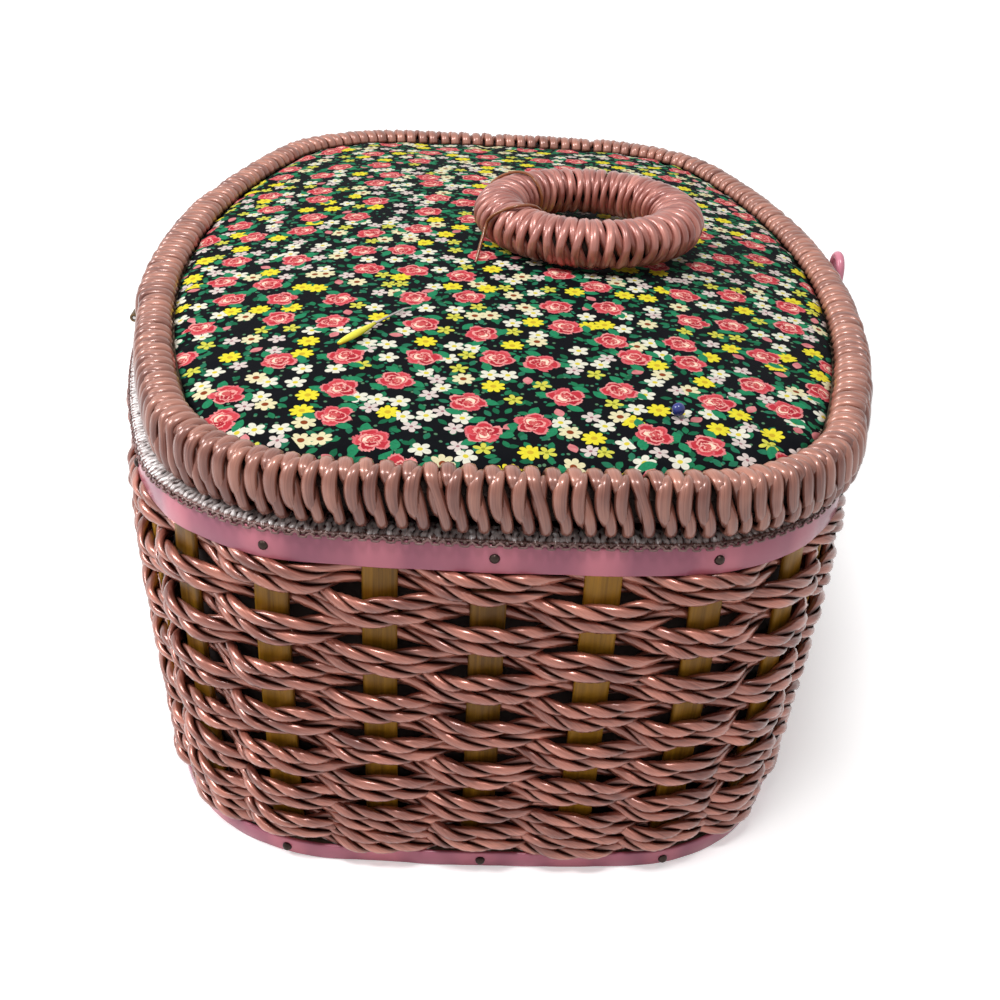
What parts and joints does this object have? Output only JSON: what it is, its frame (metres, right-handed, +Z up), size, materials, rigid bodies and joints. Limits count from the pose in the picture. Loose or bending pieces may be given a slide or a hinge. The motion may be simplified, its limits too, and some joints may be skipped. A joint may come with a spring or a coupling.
{
  "type": "sewing basket",
  "caption": "Woven sewing basket with curved sides, a padded hinged lid in a lashed rim, a ring handle, a front latch and a lift-out tray.",
  "frame": {"origin": "middle of the base board's underside, which stands on the table", "axes": "+X along the long sides to the right of someone who faces the latch, -Y to the front with the latch, +Z up"},
  "size_m": [0.321, 0.2339, 0.1437],
  "materials": {
    "pearl_cord": "glossy twisted cord with a pearly dusty rose sheen",
    "bamboo": "varnished split bamboo with upright grain",
    "pink_plastic": "glossy mauve pink plastic",
    "silver_braid": "ribbed silvery pink braid",
    "reed": "plain peeled reed",
    "board": "plain pressed board",
    "lining_cloth": "satin cloth over card",
    "printed_cloth": "cotton with small flowers on black",
    "foam": "upholstery foam",
    "tray_plastic": "moulded pale pink plastic",
    "steel": "plain steel wire",
    "brass": "plated butt hinge",
    "nylon_thread": "clear amber thread",
    "yellow_plastic": "glossy yellow",
    "blue_plastic": "glossy blue"
  },
  "bodies": {
    "basket": {"stakes": "bamboo", "top_band": "pink_plastic", "base_band": "pink_plastic", "inner_hoop": "reed", "rim_braid": "silver_braid", "base_board": "board", "lining": "lining_cloth", "tray_ledge": "reed", "hinge_body_leaf_left": "brass", "hinge_body_leaf_right": "brass", "hinge_pin_left": "steel", "hinge_pin_right": "steel", "latch_knob": "pink_plastic", "weaver_row_01": "pearl_cord", "weaver_row_02": "pearl_cord", "weaver_row_03": "pearl_cord", "weaver_row_04": "pearl_cord", "weaver_row_05": "pearl_cord", "weaver_row_06": "pearl_cord", "weaver_row_07": "pearl_cord", "weaver_row_08": "pearl_cord", "weaver_row_09": "pearl_cord", "weaver_row_10": "pearl_cord", "weaver_row_11": "pearl_cord", "weaver_row_12": "pearl_cord", "weaver_row_13": "pearl_cord", "weaver_row_14": "pearl_cord"},
    "tray": {"tray": "tray_plastic"},
    "lid": {"lid_rim": "pearl_cord", "lid_rod_lower": "reed", "lid_rod_upper": "reed", "lid_board": "board", "lid_lining": "lining_cloth", "lid_pad": "foam", "lid_cover": "printed_cloth", "flat_pin_shaft": "steel", "flat_pin_head": "yellow_plastic", "ball_pin_head": "blue_plastic", "hinge_lid_leaf_left": "brass", "hinge_lid_leaf_right": "brass", "latch_bracket": "pink_plastic"},
    "handle": {"handle_wrap": "pearl_cord", "handle_core": "reed", "handle_tie_left": "nylon_thread", "handle_tie_right": "nylon_thread"},
    "bail": {"latch_bail": "pink_plastic"}
  },
  "joints": [
    {"name": "lid_hinge", "type": "hinge", "parent": "basket", "child": "lid", "pos_m": [0, 0.1114, 0.1058], "axis": [-1, 0, 0], "range_deg": [0, 100]},
    {"name": "handle_pivot", "type": "hinge", "parent": "lid", "child": "handle", "pos_m": [0, 0.0078, 0.12836], "axis": [-1, 0, 0], "range_deg": [0, 90]},
    {"name": "latch_swing", "type": "hinge", "parent": "lid", "child": "bail", "pos_m": [0.01323, -0.11771, 0.1092], "axis": [1, 0, 0], "range_deg": [0, 180]},
    {"name": "tray_lift", "type": "slide", "parent": "basket", "child": "tray", "axis": [0, 0, 1], "range_m": [0, 0.008]}
  ]
}
